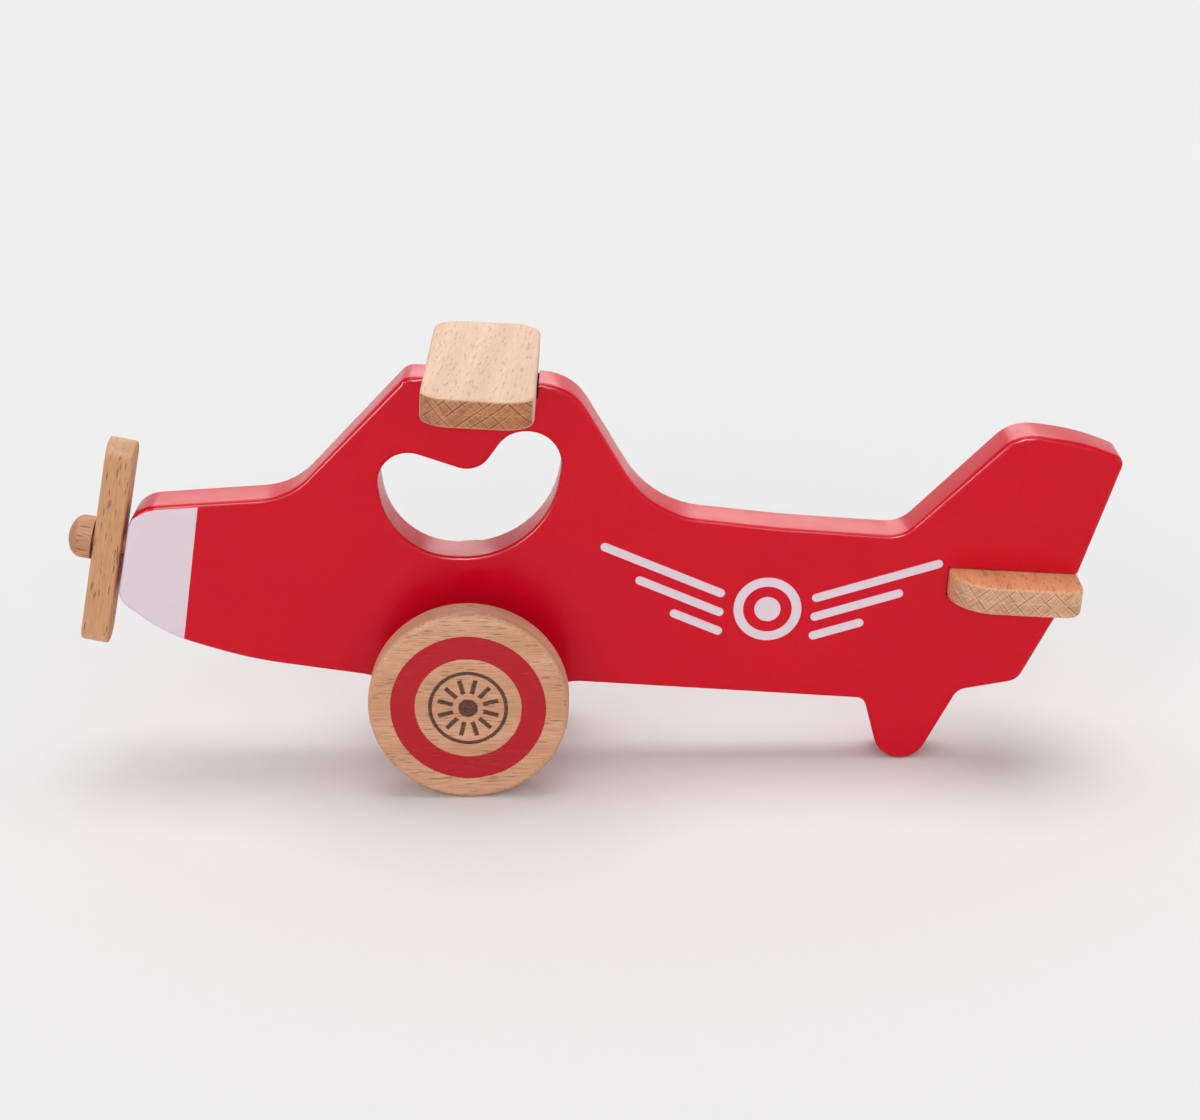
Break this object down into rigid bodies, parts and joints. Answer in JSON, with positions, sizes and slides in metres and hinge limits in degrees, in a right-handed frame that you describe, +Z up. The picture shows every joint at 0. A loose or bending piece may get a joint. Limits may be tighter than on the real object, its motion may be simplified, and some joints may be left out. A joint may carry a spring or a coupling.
{
  "type": "toy airplane",
  "caption": "Wooden push-along toy airplane: flat painted body with a grip hole, plank wings, spinning propeller and a rolling wheelset.",
  "frame": {"origin": "centre of the bounding box's base, on the floor that the wheels and the tail skid stand on", "axes": "+X towards the tail, +Y towards the right wheel, +Z up"},
  "size_m": [0.2952, 0.0734, 0.1211],
  "materials": {
    "painted_body": "satin red paint over beech, pale nose and emblem",
    "beech_plank": "bare sanded beech",
    "beech_dowel": "bare turned beech",
    "beech_wheel": "bare turned beech with a painted red ring"
  },
  "bodies": {
    "airframe": {"fuselage": "painted_body", "main_wing": "beech_plank", "tailplane": "beech_plank", "wing_pin_front": "beech_dowel", "wing_pin_rear": "beech_dowel", "propeller_peg": "beech_dowel"},
    "propeller": {"propeller_blade": "beech_plank"},
    "wheelset": {"axle": "beech_dowel", "wheel_left": "beech_wheel", "wheel_right": "beech_wheel", "spacer_left": "beech_dowel", "spacer_right": "beech_dowel"}
  },
  "joints": [
    {"name": "propeller_spin", "type": "hinge", "parent": "airframe", "child": "propeller", "pos_m": [-0.13147, 0, 0.06662], "axis": [0.9775, 0, -0.2111], "continuous": true},
    {"name": "wheels_roll", "type": "hinge", "parent": "airframe", "child": "wheelset", "pos_m": [-0.03445, 0, 0.028], "axis": [0, 1, 0], "continuous": true}
  ]
}
